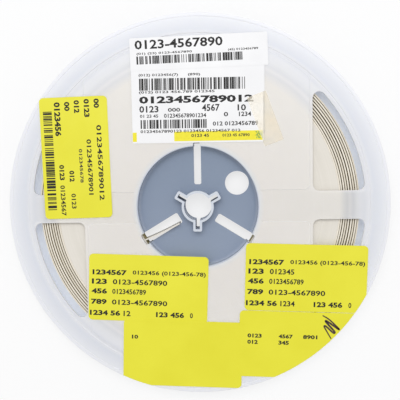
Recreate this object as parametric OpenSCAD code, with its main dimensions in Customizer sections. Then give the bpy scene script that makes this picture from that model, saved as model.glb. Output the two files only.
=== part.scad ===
// Seven inch reel of 8 mm paper carrier tape for surface mount chip resistors.
// It lies on its rear flange: Z is the reel axis and Z = 0 is the rear face.

/* [Flanges] */
// Outside diameter of both flanges
flange_d = 180; // [176:1:190]
// Thickness of a flange at its rim and label pads
flange_t = 1.2; // [1:0.1:1.8]
// Height of the rim and label pads above the rest of a flange
pad_h = 0.25; // [0.15:0.05:0.4]
// Clear width between the two flanges
tape_gap = 9; // [8.6:0.1:10]
// Width of the thick outer rim band
rim_w = 9.2; // [8:0.2:10]
// Width of the small bead at the very edge
bead_w = 1.6; // [1.2:0.1:2]

/* [Windows] */
// Distance of a window's straight inner edge from the reel axis
window_x = 54; // [50:0.5:58]
// Width of the horizontal spoke between two windows
spoke_w = 13.4; // [10:0.2:18]
// Width of flange left between a window and the rim band
window_margin = 2.2; // [2:0.1:4]
// Corner radius of the windows
window_r = 3; // [2:0.5:4]
// Width of the low frame between a window and a label pad
frame_w = 1.3; // [1:0.1:2]
// Angle by which the front flange is glued turned on the rear half
front_turn = 1.1; // [0:0.1:3]

/* [Hub] */
// Outside diameter of the barrel that the tape is wound on
barrel_d = 60; // [56:0.5:64]
// Wall of the barrel
barrel_wall = 1.4; // [1.2:0.1:2]
// Thickness of the web across the barrel
web_t = 1.2; // [1:0.1:1.6]
// Bore for the feeder's arbor
bore_d = 13; // [12.8:0.1:13.4]
// Width of the three drive keyways
key_w = 2; // [1.6:0.1:2.5]
// Reach of the keyways from the reel axis
key_r = 10.6; // [10:0.1:11]
// Wall of the keyed collar round the bore
collar_wall = 1.1; // [0.8:0.1:1.4]
// Width of the narrow slot in the web
slot_w = 3.4; // [3:0.1:4]
// Width of the wider plain slot in the web
wide_slot_w = 4.5; // [4:0.1:5]
// Width of the slot that holds the tape's inner end
feed_slot_w = 5.5; // [5:0.1:6]
// Distance of the slots' inner ends from the reel axis
slot_r = 10.4; // [9.8:0.1:12]
// Reach of the slots past the barrel, where they notch the edge of both flanges
slot_past = 0.4; // [0.3:0.1:0.7]
// Corner radius of the slots
slot_corner = 0.9; // [0.5:0.1:1.2]
// Diameter of the round hole in the web
hole_d = 11.4; // [10:0.2:12]
// Distance of the round hole from the reel axis
hole_r = 21.6; // [20.5:0.1:22]
// Height of the lap where the two barrel halves meet
lap_h = 1.3; // [1:0.1:1.6]
// Clearance between the two laps
lap_gap = 0.05; // [0.02:0.01:0.1]

/* [Tape] */
// Width of the carrier tape
tape_w = 8; // [7.9:0.1:8.1]
// Thickness of the carrier tape
tape_t = 0.65; // [0.6:0.01:0.7]
// Diameter up to which the tape is wound tight
tight_d = 134; // [126:1:138]
// Gap under each loose outer turn, from the inside out
loose_gaps = [0.35, 0.5, 0.4, 0.55, 0.6, 0.4, 0.4, 0.3];
// Depth of the groove between two tight turns
turn_groove = 0.12; // [0.08:0.01:0.16]
// Pitch of the sprocket holes and pockets
hole_pitch = 4; // [3.9:0.1:4.1]
// Diameter of a sprocket hole
sprocket_d = 1.5; // [1.4:0.1:1.6]
// Distance of the sprocket holes from the tape's front edge
sprocket_edge = 1.75; // [1.65:0.05:1.85]
// Distance from the sprocket holes to the pockets across the tape
pocket_offset = 3.5; // [3.4:0.1:3.6]
// Length of the inner end that stands in the hub
tail_len = 16.8; // [12:0.2:17.4]
// Clearance between the inner end and the side of its slot
tail_play = 0.1; // [0.05:0.05:0.3]
// Width of the film over the pockets
cover_w = 5.3; // [5:0.1:5.5]
// Thickness of the film over the pockets
cover_t = 0.06; // [0.04:0.01:0.1]

/* [Chips] */
// Length of a chip resistor, across the tape
chip_l = 1.6; // [1.5:0.05:1.7]
// Width of a chip resistor, along the tape
chip_w = 0.8; // [0.7:0.05:0.9]
// Thickness of a chip resistor
chip_t = 0.45; // [0.35:0.05:0.5]
// Play of a chip in its pocket, on each side
chip_play = 0.15; // [0.1:0.01:0.2]
// Depth of a chip's top below the tape's face
chip_sink = 0.09; // [0.08:0.01:0.12]

/* [Labels] */
// Long side of a yellow label
label_l = 57.2; // [55:0.1:59]
// Short side of a yellow label
label_s = 32.2; // [30.2:0.2:33]
// Thickness of a label
label_t = 0.1; // [0.08:0.01:0.16]
// Corner radius of a yellow label
label_r = 2; // [1:0.5:3]
// Width of the upper white label
white_top_w = 63.8; // [62:0.2:70]
// Height of the upper white label
white_top_h = 15; // [14:0.2:18]
// Width of the lower white label
white_low_w = 61.8; // [58:0.2:66]
// Height of the lower white label
white_low_h = 35.9; // [35:0.1:38]
// Overlap of the upper white label on the lower one, at the middle
white_lap = 1.6; // [1.4:0.1:3]
// Overlap of the low left label on the middle one
yellow_lap = 0.9; // [0.6:0.1:1.5]
// Gap between the right hand label and the one below it
label_gap = 0.2; // [0.1:0.05:0.5]
// Width of the clear adhesive strip
strip_w = 9.3; // [7:0.1:11]
// Length of the clear adhesive strip
strip_l = 24; // [20:0.5:26]
// Thickness of the clear adhesive strip
strip_t = 0.05; // [0.04:0.01:0.08]
// Distance that labels keep from the flange's edge
label_inset = 0.3; // [0.2:0.1:1]

/* [Hidden] */

eps = 0.01;
round_steps = 6;                          // straight pieces in a quarter of a small corner
arc_step = 3;                             // degrees between points on a large arc
tape_step = 5;                            // degrees between points on the outermost turn
turn_step = 10;                           // degrees between points on the turns under it

flange_r = flange_d / 2;
plate_t = flange_t - pad_h;               // a flange between its pads
front_in = flange_t + tape_gap;           // inner face of the front flange
reel_w = front_in + flange_t;             // front face
low_z = reel_w - pad_h;                   // front face between the pads
rim_in = flange_r - rim_w;
edge_round = flange_t / 3;
bead_groove = 0.2;

barrel_r = barrel_d / 2;
barrel_in = barrel_r - barrel_wall;
lap_r = barrel_r - barrel_wall / 2;
web_z = (reel_w - web_t) / 2;
lap_rise = 0.6;                           // from the web to the shoulder of the lap
split_z = web_z + web_t + lap_rise;
land_w = 1;
hub_land_r = barrel_r + land_w;
slot_end = barrel_r + slot_past;
key_angles = [30, 150, 270];
slot_angle = 91;
wide_slot_angle = 329;
feed_angle = 212;
hole_angle = 31;
key_corner = 0.3;
collar_corner = 0.8;

window_y = spoke_w / 2;
window_out = rim_in - window_margin;
pad_x = window_x - frame_w;
pad_y = window_y + frame_w / 2;
pad_out = rim_in - frame_w;
pad_corner = 2.4;

tape_z = flange_t;                        // the tape rests on the rear flange
tight_r = tight_d / 2;
turns = len(loose_gaps);
tape_start = 250;                         // angle where the loose turns begin
wound = 360 * turns;
sprocket_z = tape_z + tape_w - sprocket_edge;
pocket_z = sprocket_z - pocket_offset;
cover_edge = 0.1;                         // tape left bare under the film's edge
cover_z = tape_z + cover_edge;
groove_from = window_x - frame_w;          // the tight turns show outside this radius
clear_ends = 3;                           // degrees without pockets at each end of a turn
punch_over = 0.15;                        // reach of the punch past each face of the tape
tail_lean = 0.3;                          // how far the inner end starts off the middle of its slot

label_z = reel_w;
fold_w = 0.4;                             // width of the fold where a sheet climbs a label
white_r = 0.6;
strip_r = 0.3;
mid_shift = 17.2;                         // middle label's place along the low left one
mid_turn = 0.4;
right_shift = -2.2;                       // lowest label's place along the right hand one

// Centre, turn, width and height of each sheet on the front flange
white_low = [0.1, 48.2, 0.9, white_low_w, white_low_h];
white_top = [0.4, white_low[1] + (white_low_h + white_top_h) / 2 - white_lap, 2.4, white_top_w, white_top_h];
yellow_left = [-57.6, 23, 2.1, label_s, label_l];
yellow_low_left = [-23.7, -39.3, -1.4, label_l, label_s];
yellow_low_mid = beside(yellow_low_left, mid_shift, yellow_lap - label_s, mid_turn);
yellow_right = [51.2, -33.6, -1, label_l, label_s];
yellow_low_right = beside(yellow_right, right_shift, -label_s - label_gap, 0);
strip_at = [31.4, 41.3, 21, strip_w, strip_l];

// A label like another one, moved by x and y along its sides and turned further
function beside(at, x, y, turn) = [
    at[0] + x * cos(at[2]) - y * sin(at[2]),
    at[1] + x * sin(at[2]) + y * cos(at[2]),
    at[2] + turn, at[3], at[4]];

// ---- Outlines -------------------------------------------------------------

// Points on a circle's arc from angle a to b
function arc(c, r, a, b, n) = [for (i = [0:n]) let (t = a + (b - a) * i / n) c + r * [cos(t), sin(t)]];

// A D shaped outline in the upper right quarter: straight at x and at y, and round at radius r
function d_shape(x, y, r, corner) =
    let (low = [sqrt(pow(r - corner, 2) - pow(y + corner, 2)), y + corner],
         top = [x + corner, sqrt(pow(r - corner, 2) - pow(x + corner, 2))],
         a = atan2(low.y, low.x), b = atan2(top.y, top.x))
    concat(arc([x + corner, y + corner], corner, 180, 270, round_steps),
           arc(low, corner, 270, 360 + a, round_steps),
           arc([0, 0], r, a, b, ceil((b - a) / arc_step)),
           arc(top, corner, b, 180, round_steps));

// A pad's outline above the hub: straight sides at x, a straight foot at y, and round at radius r
function pad_shape(x, y, r, corner) =
    let (top = [x - corner, sqrt(pow(r - corner, 2) - pow(x - corner, 2))],
         a = atan2(top.y, top.x))
    concat(arc([x - corner, y + corner], corner, 270, 360, round_steps),
           arc(top, corner, 0, a, round_steps),
           arc([0, 0], r, a, 180 - a, ceil((180 - 2 * a) / arc_step)),
           arc([-top.x, top.y], corner, 180 - a, 180, round_steps),
           arc([corner - x, y + corner], corner, 180, 270, round_steps));

function round_rect(w, h, r) = concat(
    arc([w / 2 - r, h / 2 - r], r, 0, 90, round_steps),
    arc([r - w / 2, h / 2 - r], r, 90, 180, round_steps),
    arc([r - w / 2, r - h / 2], r, 180, 270, round_steps),
    arc([w / 2 - r, r - h / 2], r, 270, 360, round_steps));

// ---- Flanges and hub ------------------------------------------------------

// A flange's section for its outer face up: a flat plate, a rim band and an edge bead
module flange_section(bore) {
    polygon(concat(
        [[bore, 0], [flange_r - edge_round, 0]],
        arc([flange_r - edge_round, edge_round], edge_round, -90, 0, 3),
        arc([flange_r - edge_round, flange_t - edge_round], edge_round, 0, 90, 3),
        [[flange_r - bead_w, flange_t],
         [flange_r - bead_w - bead_groove, flange_t - bead_groove],
         [flange_r - bead_w - 2 * bead_groove, flange_t],
         [rim_in, flange_t], [rim_in - pad_h, plate_t],
         [bore, plate_t]]));
}

module flange_disc(bore) {
    rotate_extrude($fn = 180) flange_section(bore);
}

// The raised land round the hub opening
module hub_land() {
    difference() {
        cylinder(h = flange_t, r = hub_land_r, $fn = 120);
        translate([0, 0, -eps]) cylinder(h = flange_t + 2 * eps, r = barrel_in, $fn = 120);
    }
}

module windows() {
    for (mx = [0, 1], my = [0, 1])
        mirror([mx, 0, 0]) mirror([0, my, 0])
            polygon(d_shape(window_x, window_y, window_out, window_r));
}

// The two raised pads above and below the spoke, with sloped edges
module label_pads() {
    for (my = [0, 1])
        mirror([0, my, 0]) hull() {
            linear_extrude(plate_t) polygon(pad_shape(pad_x, pad_y, pad_out, pad_corner));
            linear_extrude(flange_t)
                polygon(pad_shape(pad_x - pad_h, pad_y + pad_h, pad_out - pad_h, pad_corner));
        }
}

// Slots through the web and the barrel for the tape's inner end, which notch both flanges
module slots() {
    for (slot = [[slot_angle, slot_w], [wide_slot_angle, wide_slot_w], [feed_angle, feed_slot_w]])
        rotate(slot[0]) translate([(slot_r + slot_end) / 2, 0, -eps]) linear_extrude(reel_w + 2 * eps)
            polygon(round_rect(slot_end - slot_r, slot[1], slot_corner));
}

module keyed_outline(r, w, reach, corner) {
    circle(r = r, $fn = 96);
    for (a = key_angles)
        rotate(a) translate([reach / 2, 0]) polygon(round_rect(reach, w, corner));
}

// The bore with its three keyways, through the whole width
module keyed_bore() {
    translate([0, 0, -eps]) linear_extrude(reel_w + 2 * eps)
        for (a = key_angles)
            rotate(a) translate([key_r / 2, 0]) polygon(round_rect(key_r, key_w, key_corner));
    translate([0, 0, -eps]) cylinder(h = reel_w + 2 * eps, d = bore_d, $fn = 96);
}

module collar() {
    linear_extrude(reel_w)
        keyed_outline(bore_d / 2 + collar_wall, key_w + 2 * collar_wall, key_r + collar_wall, collar_corner);
}

module barrel(from_z, to_z, outer, inner) {
    translate([0, 0, from_z]) difference() {
        cylinder(h = to_z - from_z, r = outer, $fn = 120);
        translate([0, 0, -eps]) cylinder(h = to_z - from_z + 2 * eps, r = inner, $fn = 120);
    }
}

// Rear flange, barrel with its inner lap, web and keyed collar in one moulding
module rear_half() {
    color([0.9, 0.92, 0.95]) difference() {
        union() {
            mirror([0, 0, 1]) translate([0, 0, -flange_t]) {
                flange_disc(barrel_in);
                hub_land();
            }
            barrel(plate_t / 2, split_z, barrel_r, barrel_in);
            barrel(split_z - lap_h / 2, split_z + lap_h, lap_r - lap_gap, barrel_in);
            translate([0, 0, web_z]) cylinder(h = web_t, r = barrel_in + barrel_wall / 2, $fn = 120);
            collar();
        }
        slots();
        keyed_bore();
        rotate(hole_angle) translate([hole_r, 0, web_z - eps])
            cylinder(h = web_t + 2 * eps, d = hole_d, $fn = 72);
    }
}

// Front flange with its windows, and the barrel half that laps over the rear one
module front_half() {
    color([0.92, 0.93, 0.96]) difference() {
        union() {
            translate([0, 0, front_in]) {
                flange_disc(barrel_in);
                hub_land();
                difference() {
                    rotate(front_turn) label_pads();
                    translate([0, 0, -eps])
                        cylinder(h = flange_t + 2 * eps, r = (barrel_r + hub_land_r) / 2, $fn = 120);
                }
            }
            barrel(split_z + lap_h, front_in + plate_t / 2, barrel_r, barrel_in);
            barrel(split_z, split_z + 1.5 * lap_h, barrel_r, lap_r);
        }
        translate([0, 0, front_in - eps]) rotate(front_turn) linear_extrude(flange_t + 2 * eps) windows();
        slots();
    }
}

// ---- Tape -----------------------------------------------------------------

// Height of a loose turn above the tight roll, after k whole turns
function lift(k) = k == 0 ? 0 : lift(k - 1) + tape_t + loose_gaps[k - 1];

// Outer radius of the tape at wound angle w, from -360 to the end of the roll
function outer_r(w) =
    let (k = floor(w / 360), part = w / 360 - k)
    w < 0 ? tight_r + tape_t * part
          : tight_r + tape_t + lift(k) + part * (k < turns ? tape_t + loose_gaps[k] : 0);

function inner_r(w) = outer_r(w) - tape_t;

// A point of the roll at wound angle w; the tape runs clockwise outwards
function on_roll(r, w) = r * [cos(tape_start - w), sin(tape_start - w)];

module roll_outline() {
    last = wound - 360;
    polygon(concat([for (w = [-360:turn_step:last - turn_step]) on_roll(outer_r(w), w)],
                   [for (w = [last:tape_step:wound]) on_roll(outer_r(w), w)],
                   [for (w = [wound:-tape_step:last]) on_roll(inner_r(w), w)],
                   [for (w = [last - turn_step:-turn_step:turn_step]) on_roll(inner_r(w), w)]));
}

// The inner end of the tape, from the roll through the wide slot into the hub
module tail_outline() {
    foot = [barrel_r + tape_t / 2, tail_lean];
    tip = [barrel_in - tail_len, (feed_slot_w - tape_t) / 2 - tail_play];
    run = tip - foot;
    rotate(feed_angle) translate(foot) rotate(atan2(run.y, run.x))
        translate([0, -tape_t / 2]) square([norm(run), tape_t]);
}

// The tight turns, with a groove between each two where they show through the windows
module tight_roll() {
    top = tape_z + tape_w;
    count = floor((tight_r - groove_from) / tape_t);
    rotate_extrude($fn = 180) polygon(concat(
        [[barrel_r, tape_z], [tight_r, tape_z], [tight_r, top]],
        [for (i = [1:count], side = [1, 0, -1])
            [tight_r - i * tape_t + side * turn_groove, top - (side == 0 ? turn_groove : 0)]],
        [[barrel_r, top]]));
}

// Wound angles of the holes and pockets in the outermost turn
last_r = outer_r(wound - 180);
pitch_angle = hole_pitch / last_r * 180 / PI;
pocket_count = floor((360 - 2 * clear_ends) / pitch_angle);
function hole_w(i) = wound - clear_ends - i * pitch_angle;

// Places its children at hole i of the outermost turn, with X along the radius and X = 0 on the tape's face
module at_hole(i, z) {
    w = hole_w(i);
    rotate(tape_start - w) translate([outer_r(w), 0, z]) children();
}

module sprocket_holes() {
    for (i = [0:pocket_count - 1])
        at_hole(i, sprocket_z) translate([-tape_t - punch_over, 0, 0])
            rotate([0, 90, 0]) cylinder(h = tape_t + 2 * punch_over, d = sprocket_d, $fn = 20);
}

module pockets() {
    l = chip_l + 2 * chip_play;
    w = chip_w + 2 * chip_play;
    for (i = [0:pocket_count - 1])
        at_hole(i, pocket_z) translate([-chip_t - chip_sink, -w / 2, -l / 2]) cube([tape_t, w, l]);
}

module carrier_tape() {
    color([0.88, 0.85, 0.76]) difference() {
        union() {
            tight_roll();
            translate([0, 0, tape_z]) linear_extrude(tape_w) difference() {
                roll_outline();
                circle(r = tight_r - tape_t / 3, $fn = 180);
            }
            translate([0, 0, tape_z]) linear_extrude(tape_w) tail_outline();
        }
        sprocket_holes();
        pockets();
    }
}

// The film that closes the pockets, on the outermost turn
module cover_film() {
    from = wound - 360 + tape_step;
    to = wound - tape_step;
    color([0.85, 0.87, 0.9, 0.5]) translate([0, 0, cover_z]) linear_extrude(cover_w)
        polygon(concat([for (w = [from:tape_step:to]) on_roll(outer_r(w) + cover_t, w)],
                       [for (w = [to:-tape_step:from]) on_roll(outer_r(w), w)]));
}

module chip_resistors() {
    color([0.12, 0.12, 0.13]) for (i = [0:pocket_count - 1])
        at_hole(i, pocket_z) translate([-chip_t - chip_sink, -chip_w / 2, -chip_l / 2])
            cube([chip_t, chip_w, chip_l]);
}

// ---- Labels ---------------------------------------------------------------

// A sheet's outline on the flange, grown by a margin and cut off at the flange's edge
module sheet_outline(at, corner, grow = 0) {
    intersection() {
        translate([at[0], at[1]]) rotate(at[2])
            polygon(round_rect(at[3] + 2 * grow, at[4] + 2 * grow, corner + grow));
        circle(r = flange_r - label_inset, $fn = 180);
    }
}

module sheet(at, corner, t) {
    translate([0, 0, label_z]) linear_extrude(t) sheet_outline(at, corner);
}

// A sheet that climbs over the edge of a label under it
module sheet_over(at, corner, t, under, under_corner) {
    difference() {
        union() {
            sheet(at, corner, t);
            translate([0, 0, label_z]) linear_extrude(label_t + t) intersection() {
                sheet_outline(at, corner);
                sheet_outline(under, under_corner, fold_w);
            }
        }
        translate([0, 0, label_z - eps]) linear_extrude(label_t + eps) sheet_outline(under, under_corner);
    }
}

module white_label_low() { color("white") sheet(white_low, white_r, label_t); }
module white_label_top() { color("white") sheet_over(white_top, white_r, label_t, white_low, white_r); }
module yellow_label_left() { color([0.92, 0.9, 0.2]) sheet(yellow_left, label_r, label_t); }
module yellow_label_low_mid() { color([0.92, 0.9, 0.2]) sheet(yellow_low_mid, label_r, label_t); }
module yellow_label_low_left() {
    color([0.92, 0.9, 0.2]) sheet_over(yellow_low_left, label_r, label_t, yellow_low_mid, label_r);
}
module yellow_label_right() { color([0.92, 0.9, 0.2]) sheet(yellow_right, label_r, label_t); }
module yellow_label_low_right() {
    color([0.92, 0.9, 0.2]) sheet_over(yellow_low_right, label_r, label_t, yellow_low_mid, label_r);
}
module clear_strip() {
    color([0.95, 0.9, 0.7, 0.6]) sheet_over(strip_at, strip_r, strip_t, white_low, white_r);
}

front_half();
rear_half();
carrier_tape();
cover_film();
chip_resistors();
white_label_top();
white_label_low();
yellow_label_left();
yellow_label_low_left();
yellow_label_low_mid();
yellow_label_right();
yellow_label_low_right();
clear_strip();
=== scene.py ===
"""The looks of a 180 mm plastic reel wound with paper carrier tape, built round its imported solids.

Lengths are metres, apart from the marks on the labels, which are in millimetres. Z is the reel's
axis, the reel lies on its rear flange at Z = 0, and its labels face up. Each sub-assembly is a class
with its sizes as fields, and each finish is a small frozen class.
"""

from __future__ import annotations

import logging
import math
from dataclasses import dataclass
from enum import Enum

import bmesh
import bpy
import numpy as np
from mathutils import Matrix, Vector

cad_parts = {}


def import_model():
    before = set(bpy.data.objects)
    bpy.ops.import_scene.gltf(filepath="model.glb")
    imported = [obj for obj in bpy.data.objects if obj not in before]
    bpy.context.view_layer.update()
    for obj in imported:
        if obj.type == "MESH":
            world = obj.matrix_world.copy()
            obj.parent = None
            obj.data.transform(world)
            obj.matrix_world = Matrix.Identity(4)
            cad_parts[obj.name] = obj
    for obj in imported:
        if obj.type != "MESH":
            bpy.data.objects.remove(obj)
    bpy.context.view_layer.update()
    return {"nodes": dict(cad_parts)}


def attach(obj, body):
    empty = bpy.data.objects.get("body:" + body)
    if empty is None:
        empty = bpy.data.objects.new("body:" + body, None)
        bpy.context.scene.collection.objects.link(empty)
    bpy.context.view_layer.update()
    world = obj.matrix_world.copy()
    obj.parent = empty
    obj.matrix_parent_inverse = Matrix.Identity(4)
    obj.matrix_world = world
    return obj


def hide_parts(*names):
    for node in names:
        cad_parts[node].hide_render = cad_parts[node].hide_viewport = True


MM = 0.001
BODY = "root"
RAMP_REACH = 100.0 * MM
LOG = logging.getLogger("tape_reel")

Colour = tuple[float, float, float]
Plan = tuple[float, float]
Points = np.ndarray
Faces = np.ndarray
Socket = bpy.types.NodeSocket
Feed = Socket | float
Tint = Socket | Colour
Stops = tuple[tuple[float, Colour], ...]


def scene_object(name: str, data: bpy.types.ID) -> bpy.types.Object:
    """Makes an object of a mesh, curve, lamp or camera and links it into the scene.

    Args:
        name: The object's name.
        data: What it shows.

    Returns:
        The object, sitting at the origin.
    """
    made = bpy.data.objects.new(name, data)
    bpy.context.scene.collection.objects.link(made)
    return made


def paint(red: int, green: int, blue: int) -> Colour:
    """Gives a paint chart colour as linear light.

    Args:
        red: The chart's red, from 0 to 255.
        green: The chart's green, from 0 to 255.
        blue: The chart's blue, from 0 to 255.

    Returns:
        The three linear values, each ((value / 255 + 0.055) / 1.055) to the power 2.4.
    """
    chart = np.array([red, green, blue]) / 255.0
    linear = np.where(chart <= 0.04045, chart / 12.92, ((chart + 0.055) / 1.055) ** 2.4)
    return tuple(float(value) for value in linear)


# ---- Shader building -------------------------------------------------------


class NodeBench:
    """Adds nodes to one node tree and joins them up."""

    def __init__(self, tree: bpy.types.NodeTree) -> None:
        """Works on the given tree."""
        self.tree = tree

    def add(self, kind: str, inputs: dict | None = None, **settings: object) -> bpy.types.Node:
        """Adds one node.

        Args:
            kind: The node's type name.
            inputs: Sockets by name or number, each with a plain value or the socket that feeds it.
            **settings: Plain properties of the node.

        Returns:
            The new node.
        """
        node = self.tree.nodes.new(kind)
        for name, value in settings.items():
            setattr(node, name, value)
        for name, value in (inputs or {}).items():
            if isinstance(value, Socket):
                self.tree.links.new(value, node.inputs[name])
            else:
                node.inputs[name].default_value = value
        return node

    def math(self, operation: str, *values: Feed, clamp: bool = False) -> Socket:
        """Adds one Math node and returns its value socket."""
        inputs = dict(enumerate(values))
        return self.add("ShaderNodeMath", inputs, operation=operation, use_clamp=clamp).outputs[0]

    def blend(self, factor: Feed, first: Tint, second: Tint) -> Socket:
        """Mixes two colours.

        Args:
            factor: A value or socket, 0 for the first colour and 1 for the second.
            first: A linear colour or a socket.
            second: A linear colour or a socket.

        Returns:
            The mixed colour's socket.
        """
        colours = [tint if isinstance(tint, Socket) else (*tint, 1.0) for tint in (first, second)]
        inputs = {0: factor, 6: colours[0], 7: colours[1]}
        return self.add("ShaderNodeMix", inputs, data_type="RGBA").outputs[2]

    def stops(self, value: Socket, stops: Stops) -> Socket:
        """Gives the colour of a value that runs through stops.

        Args:
            value: A socket with a distance in metres, from 0 to the ramp's reach.
            stops: Distances in millimetres with their colours, from the smallest up.

        Returns:
            The colour's socket, straight lines between the stops.
        """
        places = [place * MM / RAMP_REACH for place, _ in stops]
        share = self.math("MULTIPLY", value, 1.0 / RAMP_REACH)
        node = self.add("ShaderNodeValToRGB", {"Fac": share})
        elements = node.color_ramp.elements
        elements[0].position, elements[1].position = places[0], places[-1]
        for place in places[1:-1]:
            elements.new(place)
        for element, (_, colour) in zip(elements, stops):
            element.color = (*colour, 1.0)
        return node.outputs["Color"]

    def noise(self, position: Socket, scale: Feed, detail: float = 2.0) -> Socket:
        """Adds one noise texture and returns its 0 to 1 value socket."""
        inputs = {"Vector": position, "Scale": scale, "Detail": detail}
        return self.add("ShaderNodeTexNoise", inputs).outputs["Fac"]

    def ramp(self, value: Socket, low: float, high: float) -> Socket:
        """Stretches a value so that low becomes 0 and high becomes 1, and clips it."""
        inputs = {"Value": value, "From Min": low, "From Max": high}
        return self.add("ShaderNodeMapRange", inputs).outputs["Result"]


class SharedGroup:
    """One node group that several finishes use, built the first time it is asked for."""

    name = "shared_group"
    inputs: tuple[tuple[str, str, float], ...] = ()
    outputs: tuple[tuple[str, str], ...] = ()

    def wire(self, bench: NodeBench, given: bpy.types.Node) -> dict[str, Socket]:
        """Builds the inside of the group; each kind of group has its own."""
        raise NotImplementedError

    def tree(self) -> bpy.types.NodeTree:
        """Builds the group's tree, or finds the one made before.

        Returns:
            The tree, with its sockets and its inside.
        """
        made = bpy.data.node_groups.get(self.name)
        if made is not None:
            return made
        tree = bpy.data.node_groups.new(self.name, "ShaderNodeTree")
        for name, kind, value in self.inputs:
            socket = tree.interface.new_socket(name, in_out="INPUT", socket_type=kind)
            if kind == "NodeSocketFloat":
                socket.default_value = value
        for name, kind in self.outputs:
            tree.interface.new_socket(name, in_out="OUTPUT", socket_type=kind)
        bench = NodeBench(tree)
        results = self.wire(bench, bench.add("NodeGroupInput"))
        bench.add("NodeGroupOutput", results)
        return tree

    def place(self, bench: NodeBench, inputs: dict[str, Feed]) -> dict[str, Socket]:
        """Places the group in a material's tree with its own values, and returns its outputs."""
        return bench.add("ShaderNodeGroup", inputs, node_tree=self.tree()).outputs


class RadialBand(SharedGroup):
    """A mask by distance from the reel's axis: (distance - radius) / softness + 1/2, clipped."""

    name = "radial_band"
    inputs = (
        ("Position", "NodeSocketVector", 0.0),
        ("Radius", "NodeSocketFloat", 0.03),
        ("Softness", "NodeSocketFloat", 0.001),
    )
    outputs = (("Mask", "NodeSocketFloat"), ("Distance", "NodeSocketFloat"))

    def wire(self, bench: NodeBench, given: bpy.types.Node) -> dict[str, Socket]:
        """Builds the distance from the axis and its soft step.

        Args:
            bench: The group's bench.
            given: The group's inputs.

        Returns:
            The mask and the distance.
        """
        flat = bench.add(
            "ShaderNodeVectorMath",
            {0: given.outputs["Position"], 1: (1.0, 1.0, 0.0)},
            operation="MULTIPLY",
        ).outputs[0]
        distance = bench.add("ShaderNodeVectorMath", {0: flat}, operation="LENGTH").outputs["Value"]
        past = bench.math("SUBTRACT", distance, given.outputs["Radius"])
        share = bench.math("DIVIDE", past, given.outputs["Softness"])
        return {"Mask": bench.math("ADD", share, 0.5, clamp=True), "Distance": distance}

    def step(self, bench: NodeBench, position: Socket, radius: float, softness: float) -> Socket:
        """Places the group and returns the mask past a radius."""
        inputs = {"Position": position, "Radius": radius, "Softness": softness}
        return self.place(bench, inputs)["Mask"]

    def distance(self, bench: NodeBench, position: Socket) -> Socket:
        """Places the group and returns the plain distance from the axis."""
        return self.place(bench, {"Position": position})["Distance"]


class SurfaceGrain(SharedGroup):
    """Uneven tone and a fine height: coarse noise and fine noise, added two to one."""

    name = "surface_grain"
    inputs = (
        ("Position", "NodeSocketVector", 0.0),
        ("Coarse", "NodeSocketFloat", 60.0),
        ("Fine", "NodeSocketFloat", 1500.0),
    )
    outputs = (("Tone", "NodeSocketFloat"), ("Height", "NodeSocketFloat"))

    coarse_share = 0.65

    def wire(self, bench: NodeBench, given: bpy.types.Node) -> dict[str, Socket]:
        """Builds the two noises and their mix.

        Args:
            bench: The group's bench.
            given: The group's inputs.

        Returns:
            The tone and the height.
        """
        position = given.outputs["Position"]
        coarse = bench.noise(position, given.outputs["Coarse"], 3.0)
        fine = bench.noise(position, given.outputs["Fine"], 2.0)
        tone = bench.math(
            "ADD",
            bench.math("MULTIPLY", coarse, self.coarse_share),
            bench.math("MULTIPLY", fine, 1.0 - self.coarse_share),
        )
        return {"Tone": bench.ramp(tone, 0.35, 0.65), "Height": fine}


class HandlingScuffs(SharedGroup):
    """Faint rubbed arcs round the reel.

    Thin streaks are noise read along the radius alone, and a second noise shows them in patches.
    """

    name = "handling_scuffs"
    inputs = (
        ("Position", "NodeSocketVector", 0.0),
        ("Amount", "NodeSocketFloat", 0.5),
    )
    outputs = (("Mask", "NodeSocketFloat"),)

    streak_scale = 2600.0
    patch_scale = 55.0

    def mask(self, bench: NodeBench, position: Socket, amount: float) -> Socket:
        """Places the group and returns its mask."""
        return self.place(bench, {"Position": position, "Amount": amount})["Mask"]

    def wire(self, bench: NodeBench, given: bpy.types.Node) -> dict[str, Socket]:
        """Builds streaks of constant radius and the patches that show them.

        Args:
            bench: The group's bench.
            given: The group's inputs.

        Returns:
            The mask, up to the given amount.
        """
        position = given.outputs["Position"]
        along = bench.add("ShaderNodeCombineXYZ", {0: RadialBand().distance(bench, position)})
        streaks = bench.ramp(bench.noise(along.outputs[0], self.streak_scale, 1.0), 0.62, 0.72)
        patches = bench.ramp(bench.noise(position, self.patch_scale, 3.0), 0.5, 0.68)
        shown = bench.math("MULTIPLY", streaks, patches)
        return {"Mask": bench.math("MULTIPLY", shown, given.outputs["Amount"])}


def bare_material(name: str) -> tuple[bpy.types.Material, NodeBench]:
    """Makes a material with an empty node tree.

    Args:
        name: The material's name.

    Returns:
        The material, and a bench on its tree.
    """
    material = bpy.data.materials.new(name)
    material.use_nodes = True
    material.node_tree.nodes.clear()
    return material, NodeBench(material.node_tree)


class Finish:
    """A procedural material, made once and put on any number of pieces."""

    name: str

    def shade(self, bench: NodeBench, position: Socket) -> dict:
        """Gives the Principled shader's inputs; each finish has its own."""
        raise NotImplementedError

    def material(self) -> bpy.types.Material:
        """Builds the material, or finds the one made before.

        Returns:
            The material, with one Principled shader on Object coordinates.
        """
        made = bpy.data.materials.get(self.name)
        if made is not None:
            return made
        material, bench = bare_material(self.name)
        position = bench.add("ShaderNodeTexCoord").outputs["Object"]
        shader = bench.add("ShaderNodeBsdfPrincipled", self.shade(bench, position))
        bench.add("ShaderNodeOutputMaterial", {"Surface": shader.outputs[0]})
        return material

    def dress(self, piece: bpy.types.Object) -> None:
        """Puts the material on a piece in place of what it had."""
        piece.data.materials.clear()
        piece.data.materials.append(self.material())


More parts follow.
